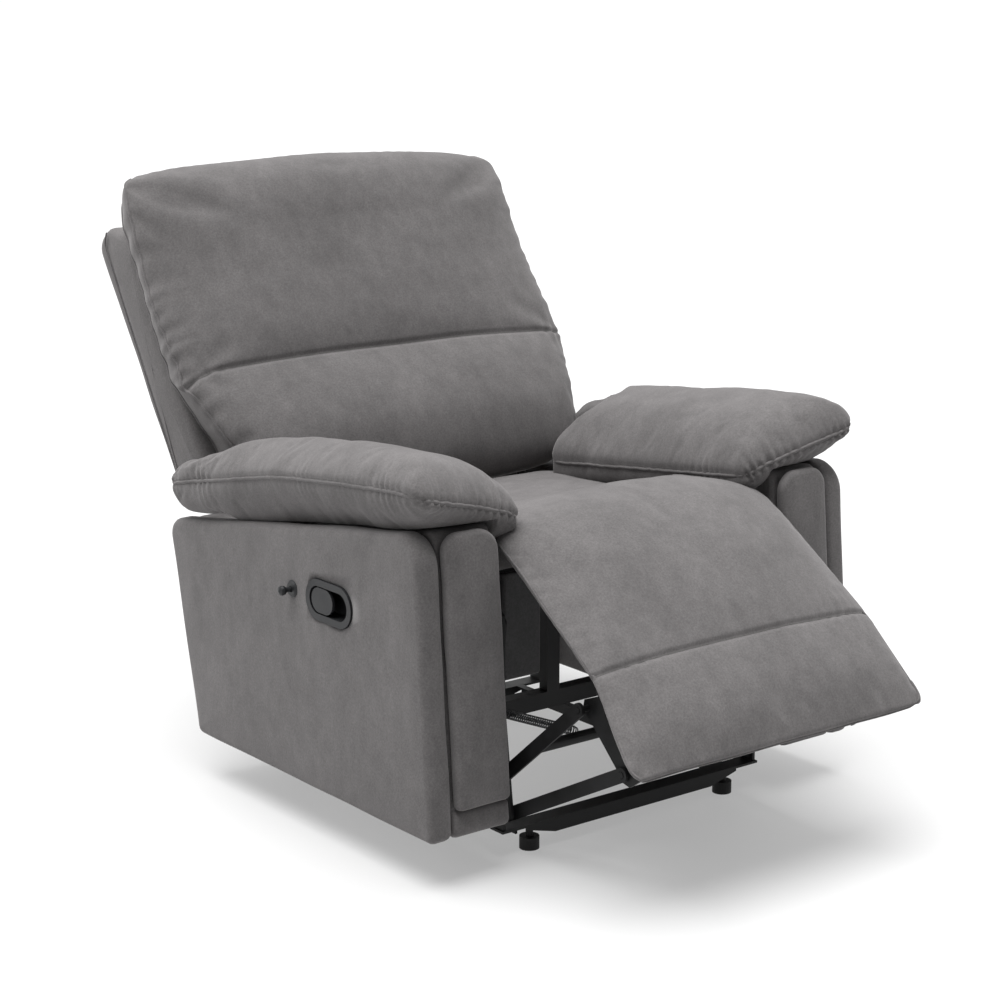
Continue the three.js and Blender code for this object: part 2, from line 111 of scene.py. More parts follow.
def ramp_node(tree, noise, stops):
    ramp = tree.nodes.new("ShaderNodeValToRGB")
    elements = ramp.color_ramp.elements
    while len(elements) < len(stops):
        elements.new(0.5)
    for element, (place, color) in zip(elements, stops):
        element.position = place
        element.color = (*color, 1)
    tree.links.new(noise.outputs["Fac"], ramp.inputs["Fac"])
    return ramp


def mix_node(tree, a, b, factor, mode="MIX"):
    mix = tree.nodes.new("ShaderNodeMix")
    mix.data_type = "RGBA"
    mix.blend_type = mode
    mix.inputs["Factor"].default_value = factor
    tree.links.new(a, mix.inputs["A"])
    tree.links.new(b, mix.inputs["B"])
    return mix


def bump_chain(tree, shader, layers):
    """Adds bump layers, each (noise, strength, distance)."""
    normal = None
    for noise, strength, distance in layers:
        bump = tree.nodes.new("ShaderNodeBump")
        bump.inputs["Strength"].default_value = strength
        bump.inputs["Distance"].default_value = distance
        tree.links.new(noise.outputs["Fac"], bump.inputs["Height"])
        if normal is not None:
            tree.links.new(normal, bump.inputs["Normal"])
        normal = bump.outputs["Normal"]
    tree.links.new(normal, shader.inputs["Normal"])


def tint(shade, factor):
    return tuple(c * factor for c in shade)


def grey(value):
    return (value,) * 3


def suede(name, shade):
    """Brushed microfibre: cloudy patches where the nap lies differently, a fine grain and a faint sheen."""
    material, tree, shader = node_material(name)
    patches = noise_node(tree, 7.0, 5.0, 0.60, (1.0, 1.0, 0.7))
    nap = noise_node(tree, 38.0, 5.0, 0.66, (1.0, 1.0, 0.6))
    grain = noise_node(tree, 300.0, 4.0, 0.80)
    pile = noise_node(tree, 1500.0, 2.0, 0.7)
    broad = ramp_node(tree, patches, [(0.34, tint(shade, 0.90)), (0.66, tint(shade, 1.10))])
    fine = ramp_node(tree, nap, [(0.32, grey(0.88)), (0.68, grey(1.12))])
    specks = ramp_node(tree, grain, [(0.32, grey(0.76)), (0.68, grey(1.24))])
    cloudy = mix_node(tree, broad.outputs["Color"], fine.outputs["Color"], 1.0, "MULTIPLY")
    grainy = mix_node(tree, cloudy.outputs["Result"], specks.outputs["Color"], 0.85, "MULTIPLY")
    tree.links.new(grainy.outputs["Result"], shader.inputs["Base Color"])
    rough = ramp_node(tree, nap, [(0.3, grey(0.84)), (0.7, grey(0.96))])
    tree.links.new(rough.outputs["Color"], shader.inputs["Roughness"])
    shader.inputs["Specular IOR Level"].default_value = 0.18
    shader.inputs["Sheen Weight"].default_value = 0.22
    shader.inputs["Sheen Roughness"].default_value = 0.5
    shader.inputs["Sheen Tint"].default_value = (0.80, 0.78, 0.78, 1)
    bump_chain(tree, shader, [
        (nap, 0.10, 0.0015),
        (grain, 0.30, 0.0006),
        (pile, 0.25, 0.0003),
    ])
    return material


def thread(name, shade):
    material, tree, shader = node_material(name)
    twist = noise_node(tree, 700.0, 2.0, 0.6)
    color = ramp_node(tree, twist, [(0.3, tint(shade, 0.7)), (0.7, tint(shade, 1.2))])
    tree.links.new(color.outputs["Color"], shader.inputs["Base Color"])
    shader.inputs["Roughness"].default_value = 0.7
    bump_chain(tree, shader, [(twist, 0.5, 0.0003)])
    return material


def black_steel():
    material, tree, shader = node_material("black_steel")
    orange_peel = noise_node(tree, 260.0, 3.0, 0.6)
    dust = noise_node(tree, 16.0, 5.0, 0.6)
    color = ramp_node(tree, dust, [(0.35, grey(0.005)), (0.7, (0.013, 0.013, 0.014))])
    tree.links.new(color.outputs["Color"], shader.inputs["Base Color"])
    rough = ramp_node(tree, dust, [(0.3, grey(0.42)), (0.7, grey(0.60))])
    tree.links.new(rough.outputs["Color"], shader.inputs["Roughness"])
    shader.inputs["Specular IOR Level"].default_value = 0.28
    bump_chain(tree, shader, [(orange_peel, 0.12, 0.0005)])
    return material


def oiled_steel():
    material, tree, shader = node_material("oiled_steel")
    streaks = noise_node(tree, 120.0, 3.0, 0.6, (1, 1, 6))
    stops = [(0.3, (0.050, 0.051, 0.053)), (0.7, (0.11, 0.112, 0.115))]
    color = ramp_node(tree, streaks, stops)
    tree.links.new(color.outputs["Color"], shader.inputs["Base Color"])
    shader.inputs["Metallic"].default_value = 1.0
    shader.inputs["Roughness"].default_value = 0.36
    bump_chain(tree, shader, [(streaks, 0.1, 0.0003)])
    return material


def plastic(name, shade, smooth, rough):
    material, tree, shader = node_material(name)
    grain = noise_node(tree, 1400.0, 2.0, 0.6)
    smudge = noise_node(tree, 30.0, 4.0, 0.6)
    color = ramp_node(tree, smudge, [(0.3, tint(shade, 0.85)), (0.7, tint(shade, 1.15))])
    tree.links.new(color.outputs["Color"], shader.inputs["Base Color"])
    gloss = ramp_node(tree, smudge, [(0.3, grey(smooth)), (0.7, grey(rough))])
    tree.links.new(gloss.outputs["Color"], shader.inputs["Roughness"])
    shader.inputs["Specular IOR Level"].default_value = 0.35
    bump_chain(tree, shader, [(grain, 0.12, 0.0002)])
    return material


def plywood():
    material, tree, shader = node_material("plywood")
    grain = noise_node(tree, 14.0, 6.0, 0.62, (0.6, 7.0, 7.0))
    color = ramp_node(tree, grain, [
        (0.25, (0.30, 0.19, 0.09)), (0.5, (0.50, 0.35, 0.19)), (0.75, (0.62, 0.46, 0.27))])
    tree.links.new(color.outputs["Color"], shader.inputs["Base Color"])
    shader.inputs["Roughness"].default_value = 0.72
    bump_chain(tree, shader, [(grain, 0.25, 0.001)])
    return material


def dust_cover():
    """Thin black spun cloth, stapled under the chair."""
    material, tree, shader = node_material("dust_cover")
    weave = noise_node(tree, 380.0, 3.0, 0.7)
    color = ramp_node(tree, weave, [(0.3, grey(0.010)), (0.7, grey(0.028))])
    tree.links.new(color.outputs["Color"], shader.inputs["Base Color"])
    shader.inputs["Roughness"].default_value = 0.95
    bump_chain(tree, shader, [(weave, 0.5, 0.0006)])
    return material


MATERIALS = {
    "suede": suede("suede", (0.109, 0.1035, 0.1035)),
    "suede_dark": suede("suede_dark", (0.066, 0.065, 0.066)),
    "thread": thread("thread", (0.085, 0.082, 0.080)),
    "steel": black_steel(),
    "oiled": oiled_steel(),
    "plastic": plastic("charcoal_plastic", (0.013, 0.0135, 0.015), 0.36, 0.5),
    "rubber": plastic("black_rubber", (0.012, 0.012, 0.012), 0.6, 0.75),
    "wood": plywood(),
    "dust_cover": dust_cover(),
}


# ---- mesh helpers ----
EDGE_ARC_POINTS = 5  # points round the edge of a slab
FACE_FILL = 0.97  # how far a slab's face is filled with rings towards its middle
FACE_DOME = 2.5  # how early a slab's face rises: more is flatter in the middle
SEAM_SAMPLES = 900
SEAM_EDGE = 0.004  # gathers start this far from the seam


def smooth_noise(points, scale, seed, waves=14):
    """A smooth field between about -1 and 1, from seeded plane waves of that length in metres."""
    rng = np.random.default_rng(seed)
    directions = rng.normal(size=(waves, 3))
    directions /= np.linalg.norm(directions, axis=1)[:, None]
    lengths = rng.uniform(0.7, 1.5, waves) * scale
    phases = rng.uniform(0, 2 * math.pi, waves)
    total = np.zeros(len(points))
    for direction, length, phase in zip(directions, lengths, phases):
        total += np.sin(points @ direction * (2 * math.pi / length) + phase)
    return total / math.sqrt(waves)


def on_line(values):
    """Places along a line as points, for noise that varies only along it."""
    return np.column_stack([values, values * 0, values * 0])


def spline(points, count, steps=24):
    """Evenly spaced points on a smooth curve through the given ones, drawn in steps a span."""
    points = np.array(points, float)
    padded = np.vstack([2 * points[0] - points[1], points, 2 * points[-1] - points[-2]])
    fine = []
    for i in range(1, len(padded) - 2):
        p0, p1, p2, p3 = padded[i - 1:i + 3]
        for t in np.linspace(0, 1, steps, endpoint=False):
            fine.append(0.5 * (2 * p1 + (p2 - p0) * t + (2 * p0 - 5 * p1 + 4 * p2 - p3) * t * t
                               + (3 * p1 - p0 - 3 * p2 + p3) * t ** 3))
    fine.append(padded[-2])
    return resample(np.array(fine), count)


def resample(points, count):
    """Points of the same path, evenly spaced."""
    steps = np.linalg.norm(np.diff(points, axis=0), axis=1)
    along = np.concatenate([[0], np.cumsum(steps)])
    wanted = np.linspace(0, along[-1], count)
    return np.column_stack([np.interp(wanted, along, points[:, k]) for k in range(points.shape[1])])


def smooth_path(path, passes, closed=False):
    """Evens out a path of points or values; an open path keeps its ends."""
    path = np.array(path)
    for _ in range(passes):
        around = (np.roll(path, 1, axis=0) + np.roll(path, -1, axis=0)) / 2
        if not closed:
            around[0], around[-1] = path[0], path[-1]
        path = (path + around) / 2
    return path


def values_along(count, keys, passes=10):
    """Values at evenly spaced places 0..1, on a soft line through keys [(place, value), ...]."""
    places, values = zip(*keys)
    line = np.interp(np.linspace(0, 1, count), places, values)
    return smooth_path(line, passes)


def bell(distance, width):
    """1 at no distance, falling away smoothly over the width."""
    return np.exp(-(distance / width) ** 2)


def spread(count, share):
    """Places -1..1 across a panel, closer together at its sides."""
    return np.sin(np.linspace(-1, 1, count) * math.pi / 2 * share) / math.sin(math.pi / 2 * share)


def unit(vector):
    return vector / np.linalg.norm(vector)


def rounded_outline(corners, step=0.006):
    """A closed outline of 2D points from corners (a, b, radius), with round corners and even steps."""
    n = len(corners)
    path = []
    for i in range(n):
        before = np.array(corners[i - 1][:2])
        here = np.array(corners[i][:2])
        after = np.array(corners[(i + 1) % n][:2])
        radius = corners[i][2]
        u = unit(before - here)
        v = unit(after - here)
        half = math.acos(np.clip(u @ v, -1, 1)) / 2
        cut = radius / math.tan(half)
        start = here + u * cut
        end = here + v * cut
        centre = here + unit(u + v) * radius / math.sin(half)
        first = math.atan2(*(start - centre)[::-1])
        last = math.atan2(*(end - centre)[::-1])
        turn = (last - first + math.pi) % (2 * math.pi) - math.pi
        steps = max(3, int(abs(turn) * radius / step) + 1)
        for angle in first + turn * np.linspace(0, 1, steps):
            path.append(centre + radius * np.array([math.cos(angle), math.sin(angle)]))
    path.append(path[0])
    path = np.array(path)
    length = np.linalg.norm(np.diff(path, axis=0), axis=1).sum()
    return resample(path, int(length / step) + 1)[:-1]


def outline_normals(outline):
    """Outward directions at the points of a closed 2D outline."""
    following = np.roll(outline, -1, axis=0)
    tangent = following - np.roll(outline, 1, axis=0)
    tangent /= np.linalg.norm(tangent, axis=1)[:, None]
    normal = np.column_stack([tangent[:, 1], -tangent[:, 0]])
    area = 0.5 * np.sum(outline[:, 0] * following[:, 1] - outline[:, 1] * following[:, 0])
    return normal if area > 0 else -normal


def path_frame(path):
    """Directions along a 2D path, and the directions square to it on its left."""
    tangent = np.gradient(path, axis=0)
    tangent /= np.linalg.norm(tangent, axis=1)[:, None]
    return tangent, np.column_stack([-tangent[:, 1], tangent[:, 0]])


def add_piece(name, verts, faces, material):
    mesh = bpy.data.meshes.new(name)
    mesh.from_pydata([tuple(map(float, v)) for v in verts], [], [tuple(map(int, f)) for f in faces])
    mesh.materials.append(MATERIALS[material])
    b = bmesh.new()
    b.from_mesh(mesh)
    bmesh.ops.recalc_face_normals(b, faces=b.faces)
    b.to_mesh(mesh)
    b.free()
    mesh.shade_smooth()
    piece = bpy.data.objects.new(name, mesh)
    bpy.context.scene.collection.objects.link(piece)
    return piece


def points_of(piece):
    co = np.zeros(len(piece.data.vertices) * 3)
    piece.data.vertices.foreach_get("co", co)
    return co.reshape(-1, 3)


def set_points(piece, co):
    piece.data.vertices.foreach_set("co", co.astype(np.float32).ravel())
    piece.data.update()


def normals_of(piece):
    n = np.zeros(len(piece.data.vertices) * 3)
    piece.data.vertices.foreach_get("normal", n)
    return n.reshape(-1, 3)


def lift(piece, height):
    """Moves each point outwards by its height."""
    set_points(piece, points_of(piece) + normals_of(piece) * height[:, None])


def apply_modifiers(piece):
    graph = bpy.context.evaluated_depsgraph_get()
    mesh = bpy.data.meshes.new_from_object(piece.evaluated_get(graph))
    old = piece.data
    piece.modifiers.clear()
    piece.data = mesh
    mesh.name = old.name
    bpy.data.meshes.remove(old)
    piece.data.shade_smooth()


def subdivide(piece):
    modifier = piece.modifiers.new("fine", "SUBSURF")
    modifier.levels = 1
    modifier.render_levels = 1
    apply_modifiers(piece)


def ring_faces(rows, around):
    """Quads between closed loops of points that follow one another."""
    return [
        (i * around + j, i * around + (j + 1) % around,
         (i + 1) * around + (j + 1) % around, (i + 1) * around + j)
        for i in range(rows - 1) for j in range(around)
    ]


def end_faces(rows, around):
    """The two faces that close the first and last loop."""
    return [tuple(range(around)), tuple((rows - 1) * around + j for j in reversed(range(around)))]


def slab(name, outline, x0, x1, edge, material, puff=0.0, rings=7, step=0.012):
    """A padded panel: an outline in (y, z) spread along X, with round edges and domed faces."""
    normal = outline_normals(outline)
    centre = outline.mean(axis=0)
    angles = np.linspace(0, math.pi / 2, EDGE_ARC_POINTS)
    rounding = [(edge * (1 - math.cos(a)), edge * (1 - math.sin(a))) for a in angles]
    flat = x1 - x0 - 2 * edge
    middle = max(1, int(flat / step))
    sections = [(x0 + depth, inset) for depth, inset in rounding]
    sections += [(x0 + edge + flat * k / middle, 0.0) for k in range(1, middle)]
    sections += [(x1 - depth, inset) for depth, inset in reversed(rounding)]

    def loop(x, ring):
        return np.column_stack([np.full(len(ring), x), ring])

    def face_rings(x, inset, direction):
        """Smaller and smaller loops towards the middle of a face, which rises by the puff."""
        ring = outline - normal * inset
        made = []
        for t in np.arange(1, rings + 1) / rings:
            height = puff * (1 - (1 - t) ** FACE_DOME)
            made.append(loop(x + direction * height, ring + (centre - ring) * t * FACE_FILL))
        return made

    loops = [loop(x, outline - normal * inset) for x, inset in sections]
    loops = list(reversed(face_rings(*sections[0], -1))) + loops + face_rings(*sections[-1], 1)
    rows, around = len(loops), len(outline)
    return add_piece(name, np.vstack(loops), ring_faces(rows, around) + end_faces(rows, around), material)


def grid_shell(name, top, bottom, side_steps, material, bulge=0.0):
    """A closed shell between two grids of points (rows along, columns across), with walls of side_steps
    quads. Each row becomes a loop: the top, the right wall, the bottom back again and the left wall."""
    rows, columns = top.shape[:2]
    loops = []
    for r in range(rows):
        right = [top[r, -1] + (bottom[r, -1] - top[r, -1]) * k / side_steps for k in range(1, side_steps)]
        left = [bottom[r, 0] + (top[r, 0] - bottom[r, 0]) * k / side_steps for k in range(1, side_steps)]
        for wall, sign in ((right, 1), (left, -1)):
            for k, point in enumerate(wall, 1):
                point[0] += sign * bulge * math.sin(math.pi * k / side_steps)
        loops.append(list(top[r]) + right + list(bottom[r][::-1]) + left)
    loops = np.array(loops)
    around = loops.shape[1]
    faces = ring_faces(rows, around)
    for base in (0, (rows - 1) * around):
        for j in range(columns - 1):
            under = 2 * columns + side_steps - 2 - j
            faces.append((base + j, base + j + 1, base + under - 1, base + under))
        left_start = base + 2 * columns + side_steps - 2
        faces.append(tuple(base + columns - 1 + k for k in range(side_steps + 1)))
        faces.append((*(left_start + k for k in range(side_steps)), base))
    return add_piece(name, loops.reshape(-1, 3), faces, material)


def seam_indices(rows, columns, side_steps, seam_row):
    """Where the seams of a grid shell are in its list of points, and all the points that its fill holds."""
    around = 2 * (columns + side_steps - 1)
    under = columns + side_steps - 1
    starts = [r * around for r in range(rows)]
    seams = {
        "cross": [seam_row * around + k for k in range(columns)],
        "right": starts,
        "left": [s + columns - 1 for s in starts],
        "end": [starts[-1] + k for k in range(columns)],
        "rear_left": [s + under for s in starts],
        "rear_right": [s + under + columns - 1 for s in starts],
    }
    held = set(seams["cross"] + seams["right"] + seams["left"])
    held.update(range(around))
    held.update(range((rows - 1) * around, rows * around))
    held.update(s + under + k for s in starts for k in range(columns))
    return seams, sorted(held)


def inflate(piece, pinned, growth, cap, pressure=3.0, stiffness=15.0, bending=0.5, frames=20):
    """Lets the cover swell as cloth round its fill, held at the pinned points, then keeps the shape."""
    start = points_of(piece)
    group = piece.vertex_groups.new(name="pin")
    for i in pinned:
        group.add([int(i)], 1.0, "REPLACE")
    modifier = piece.modifiers.new("cloth", "CLOTH")
    cloth = modifier.settings
    cloth.quality = 5
    cloth.mass = 0.3
    cloth.tension_stiffness = stiffness
    cloth.compression_stiffness = stiffness
    cloth.shear_stiffness = stiffness * 0.4
    cloth.bending_stiffness = bending
    cloth.use_pressure = True
    cloth.uniform_pressure_force = pressure
    cloth.shrink_min = -growth
    cloth.vertex_group_mass = "pin"
    cloth.effector_weights.gravity = 0
    modifier.collision_settings.use_collision = False
    modifier.point_cache.frame_start = 1
    modifier.point_cache.frame_end = frames
    scene = bpy.context.scene
    for f in range(1, frames + 1):
        scene.frame_set(f)
    graph = bpy.context.evaluated_depsgraph_get()
    swollen = piece.evaluated_get(graph).to_mesh()
    co = np.zeros(len(swollen.vertices) * 3)
    swollen.vertices.foreach_get("co", co)
    piece.evaluated_get(graph).to_mesh_clear()
    piece.modifiers.remove(modifier)
    piece.vertex_groups.clear()
    scene.frame_set(1)
    move = co.reshape(-1, 3) - start
    size = np.linalg.norm(move, axis=1)
    limited = cap * np.tanh(size / cap)
    set_points(piece, start + move * (limited / np.maximum(size, 1e-9))[:, None])


def tube_along(name, path, radius, material, sides=8, closed=False):
    """A round cord or piping along a path of points."""
    path = np.array(path)
    n = len(path)
    if closed:
        tangent = np.roll(path, -1, axis=0) - np.roll(path, 1, axis=0)
    else:
        tangent = np.gradient(path, axis=0)
    tangent /= np.maximum(np.linalg.norm(tangent, axis=1), 1e-12)[:, None]
    normal = unit(np.cross(tangent[0], (0.3, 0.9, 0.2)))
    verts = []
    for i in range(n):
        normal = unit(normal - tangent[i] * (normal @ tangent[i]))
        side = np.cross(tangent[i], normal)
        for k in range(sides):
            angle = 2 * math.pi * k / sides
            verts.append(path[i] + radius * (math.cos(angle) * normal + math.sin(angle) * side))
    faces = ring_faces(n, sides)
    if closed:
        last = (n - 1) * sides
        faces += [(last + k, last + (k + 1) % sides, (k + 1) % sides, k) for k in range(sides)]
    else:
        faces += end_faces(n, sides)
    return add_piece(name, verts, faces, material)


def wave(piece, amount, scale, seed):
    """Soft unevenness of a cover stretched over foam."""
    lift(piece, amount * smooth_noise(points_of(piece), scale, seed))


def along_seam(co, path):
    """For each point, the distance to a seam path and how far along it the nearest place is."""
    fine = resample(np.asarray(path), SEAM_SAMPLES)
    steps = np.linalg.norm(np.diff(fine, axis=0), axis=1)
    lengths = np.concatenate([[0], np.cumsum(steps)])
    tree = KDTree(len(fine))
    for k, point in enumerate(fine):
        tree.insert(point, k)
    tree.balance()
    distance = np.zeros(len(co))
    along = np.zeros(len(co))
    for k, point in enumerate(co):
        _, index, gap = tree.find(point)
        distance[k] = gap
        along[k] = lengths[index]
    return distance, along


def gather(piece, path, strength, pitch, reach, seed):
    """Puckers that run away from a seam. Strength is their depth, or a function of points giving it."""
    co = points_of(piece)
    distance, along = along_seam(co, path)
    drift = smooth_noise(on_line(along), pitch * 5, seed)
    patchy = 0.55 + 0.45 * smooth_noise(on_line(along), pitch * 7, seed + 1)
    depth = strength(co) if callable(strength) else strength
    turns = 2 * math.pi * along
    ridge = np.sin(turns / pitch + 2.2 * drift)
    longer = 0.5 + 0.5 * np.sin(turns / (pitch * 2.7) + drift)
    fall = np.exp(-distance / (reach * (0.6 + 0.8 * longer))) * np.clip(distance / SEAM_EDGE, 0, 1)
    lift(piece, depth * np.clip(patchy, 0, 1.3) * ridge * fall)


def press_seam(piece, path, depth, width):
    """Pulls the cover down along a seam."""
    distance, _ = along_seam(points_of(piece), path)
    lift(piece, -depth * bell(distance, width * math.sqrt(2)))


def to_frame(piece):
    """Moves a piece built in the chair's own y into the frame."""
    set_points(piece, points_of(piece) + (0, CHAIR_Y, 0))


def place(piece, body, slot_name, replaced=(), fill=None):
    """Moves the finished piece into the frame, fixes it to its body and hides the frame parts it replaces."""
    to_frame(piece)
    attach(piece, body)
    if replaced:
        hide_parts(*replaced)


# ---- chaise pad: one cover from the seat to the end of the footrest ----
CHAISE_SEAM = np.array([-0.577, 0.352])  # (y, z), as in every outline below
CHAISE_END = np.array([-0.695, 0.227])
CHAISE_ROWS = 112
CHAISE_COLUMNS = 88
CHAISE_WALLS = 4
CHAISE_ROUNDING_FROM = 0.955  # where along the pad its end corners start to round
CHAISE_ROUNDING = 0.016
CHAISE_LIP = 0.016  # how far the underside stays back from the pad's end
CHAISE_PUCKER_X = 0.215


def chaise_grid():
    """The pad's top and underside as grids, and the row of its cross seam."""
    edge = spline([
        (-0.186, 0.512), (-0.250, 0.516), (-0.318, 0.513), (-0.372, 0.489), (-0.434, 0.450),
        (-0.502, 0.403), CHAISE_SEAM, (-0.606, 0.322), (-0.650, 0.275), CHAISE_END], CHAISE_ROWS)
    edge = smooth_path(edge, 16)
    along, under = path_frame(edge)
    t = np.linspace(0, 1, CHAISE_ROWS)
    seam_row = int(np.argmin(np.abs(edge[:, 0] - CHAISE_SEAM[0])))
    seam = t[seam_row]
    crown = values_along(CHAISE_ROWS, [
        (0, 0.002), (0.12, 0.016), (0.27, 0.044), (0.42, 0.048), (seam - 0.12, 0.038),
        (seam - 0.03, 0.026), (seam, 0.021), (seam + 0.03, 0.023), (seam + 0.12, 0.026),
        (0.92, 0.023), (0.985, 0.010), (1, 0.0)])
    width = values_along(CHAISE_ROWS, [
        (0, 0.222), (0.14, 0.236), (0.27, 0.274), (seam, 0.281), (1, 0.301)])
    depth = values_along(CHAISE_ROWS, [
        (0, 0.006), (0.2, 0.010), (0.34, 0.034), (seam, 0.046), (1, 0.050)])
    tuck = values_along(CHAISE_ROWS, [(0, 0.006), (0.3, 0.024), (seam, 0.042), (1, 0.042)])
    rounding = np.clip((t - CHAISE_ROUNDING_FROM) / (1 - CHAISE_ROUNDING_FROM), 0, 1)
    half = width - CHAISE_ROUNDING * rounding ** 2.5
    lip = CHAISE_LIP * np.clip((t - seam) / (1 - seam), 0, 1)
    u = spread(CHAISE_COLUMNS, 0.94)
    rise = crown[:, None] * (1 - np.abs(u) ** 2.6) ** 0.75
    top = np.zeros((CHAISE_ROWS, CHAISE_COLUMNS, 3))
    bottom = np.zeros((CHAISE_ROWS, CHAISE_COLUMNS, 3))
    top[..., 0] = half[:, None] * u
    top[..., 1:] = edge[:, None] - under[:, None] * rise[..., None]
    bottom[..., 0] = (half - tuck)[:, None] * u
    bottom[..., 1:] = (edge + under * depth[:, None] - along * lip[:, None])[:, None]
    return top, bottom, seam_row


def chaise_pucker(points):
    """The cross seam is drawn in most near its two ends."""
    return 0.0004 + 0.0016 * bell(np.abs(points[:, 0]) - CHAISE_PUCKER_X, 0.035)


def chaise_pad():
    top, bottom, seam_row = chaise_grid()
    pad = grid_shell("chaise_pad", top, bottom, CHAISE_WALLS, "suede", 0.001)
    seams, held = seam_indices(CHAISE_ROWS, CHAISE_COLUMNS, CHAISE_WALLS, seam_row)
    inflate(pad, held, 0.003, 0.008, bending=3.0)
    subdivide(pad)
    wave(pad, 0.0010, 0.13, 3)
    co = points_of(pad)
    press_seam(pad, co[seams["cross"]], 0.0042, 0.0030)
    gather(pad, co[seams["cross"]], chaise_pucker, 0.024, 0.026, 71)
    for side in ("right", "left"):
        press_seam(pad, co[seams[side]], 0.0012, 0.004)
        gather(pad, co[seams[side]], 0.0006, 0.026, 0.020, 73)
    co = points_of(pad)
    rim = np.vstack([co[seams["right"]], co[seams["end"]], co[seams["left"]][::-1]])
    seam_path = co[seams["cross"]][1:-1]
    to_frame(pad)
    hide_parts("chaise_pad", "footrest_pad")
    welt = tube_along("chaise_welt", resample(rim, 460), 0.0020, "suede")
    stitch = tube_along("chaise_cross_seam", resample(seam_path, 200), 0.0007, "thread")
    for piece, slot_name in ((welt, "suede"), (stitch, "dark_suede")):
        to_frame(piece)
    for piece in (pad, welt, stitch):
        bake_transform(piece)


def footrest_board():
    """The board under the footrest pad, kept clear of the pad's edges."""
    length = np.linalg.norm(CHAISE_END - CHAISE_SEAM)
    along = (CHAISE_END - CHAISE_SEAM) / length
    under = np.array([-along[1], along[0]])
    near, far = 0.0515, 0.0630
    corners = []
    for s, depth in ((-0.008, near), (length - 0.028, near), (length - 0.034, far), (0.0, far)):
        corners.append((*(CHAISE_SEAM + along * s + under * depth), 0.002))
    outline = rounded_outline(corners, 0.004)
    board = slab("footrest_underside", outline, -0.236, 0.236, 0.003, "dust_cover")
    place(board, "footrest", "wood", ["footrest_board"])


# ---- seat cushion behind the chaise pad ----
SEAT_HALF_WIDTH = 0.284
SEAT_SIDE_Z = 0.447
SEAT_BOTTOM_Z = 0.441
SEAT_DROOP_FROM = 0.74  # share of the half width where the top starts to fall to the sides


def seat_cushion():
    rows, columns = 64, 64
    y = np.linspace(-0.300, 0.192, rows)[:, None]
    u = np.linspace(-1, 1, columns)
    height = np.interp(
        y, [-0.30, -0.285, -0.19, -0.05, 0.17, 0.192], [0.455, 0.500, 0.501, 0.470, 0.458, 0.449])
    droop = np.clip((np.abs(u) - SEAT_DROOP_FROM) / (1 - SEAT_DROOP_FROM), 0, 1) ** 1.6
    top = np.zeros((rows, columns, 3))
    top[..., 0] = SEAT_HALF_WIDTH * u
    top[..., 1] = y
    bottom = top.copy()
    top[..., 2] = height + (SEAT_SIDE_Z - height) * droop
    bottom[..., 2] = SEAT_BOTTOM_Z
    seat = grid_shell("seat_cushion", top, bottom, 3, "suede")
    subdivide(seat)
    wave(seat, 0.0012, 0.10, 11)
    place(seat, "chair_base", "suede", ["seat_cushion"], 0.9)


# ---- arm pillows ----
ARM_TOP_FRONT = (-0.363, 0.543)
ARM_TOP_REAR = (0.350, 0.433)
PILLOW_ROWS = 118
PILLOW_COLUMNS = 40
PILLOW_MIDDLE_X = 0.34
PILLOW_FRONT_Y = -0.400
PILLOW_REAR_Y = 0.330


def arm_top(y):
    slope = (ARM_TOP_REAR[1] - ARM_TOP_FRONT[1]) / (ARM_TOP_REAR[0] - ARM_TOP_FRONT[0])
    return ARM_TOP_FRONT[1] + (y - ARM_TOP_FRONT[0]) * slope


def coons(front, rear, inner, outer):
    """Fills a patch between four boundary curves of points; rows run from front to rear."""
    t = np.linspace(0, 1, len(inner))[:, None, None]
    s = np.linspace(0, 1, len(front))[None, :, None]
    across = (1 - s) * inner[:, None] + s * outer[:, None]
    along = (1 - t) * front[None] + t * rear[None]
    corners = (1 - t) * ((1 - s) * inner[0] + s * outer[0]) + t * ((1 - s) * inner[-1] + s * outer[-1])
    return across + along - corners


def pillow_plan():
    """The pillow seen from above: a grid over its outline, and each point's distance to the outline."""
    outline = rounded_outline([
        (0.228, -0.352, 0.034), (0.451, -0.393, 0.030), (0.451, 0.326, 0.020), (0.410, 0.322, 0.014),
        (0.405, 0.180, 0.030), (0.229, 0.157, 0.022)], 0.003)

    def nearest(x, y):
        return int(np.argmin(np.hypot(outline[:, 0] - x, outline[:, 1] - y)))

    def chain(a, b, count):
        """The shorter way round the outline from one of its points to another."""
        forward = (b - a) % len(outline)
        backward = (a - b) % len(outline)
        step = 1 if forward <= backward else -1
        index = (a + step * np.arange(min(forward, backward) + 1)) % len(outline)
        return resample(outline[index], count)

    front_inner, front_outer = nearest(0.236, -0.348), nearest(0.446, -0.388)
    rear_outer, rear_inner = nearest(0.449, 0.324), nearest(0.414, 0.320)
    grid = coons(
        chain(front_inner, front_outer, PILLOW_COLUMNS), chain(rear_inner, rear_outer, PILLOW_COLUMNS),
        chain(front_inner, rear_inner, PILLOW_ROWS), chain(front_outer, rear_outer, PILLOW_ROWS))
    gaps = [((row[:, None] - outline[None]) ** 2).sum(axis=2).min(axis=1) for row in grid]
    return grid, np.sqrt(gaps)


def pillow_seam_height(x, y):
    """The seam's height over the plan: it falls to the rear, and hangs lower on the inside."""
    outer = np.interp(y, [-0.39, -0.34, -0.20, 0.0, 0.20, 0.33], [0.596, 0.597, 0.582, 0.556, 0.520, 0.498])
    inner = np.interp(y, [-0.38, -0.29, -0.12, 0.05, 0.157, 0.33], [0.532, 0.522, 0.500, 0.480, 0.467, 0.467])
    outward = np.clip((x - 0.232) / 0.214, 0, 1)
    return inner + (outer - inner) * outward ** 0.9


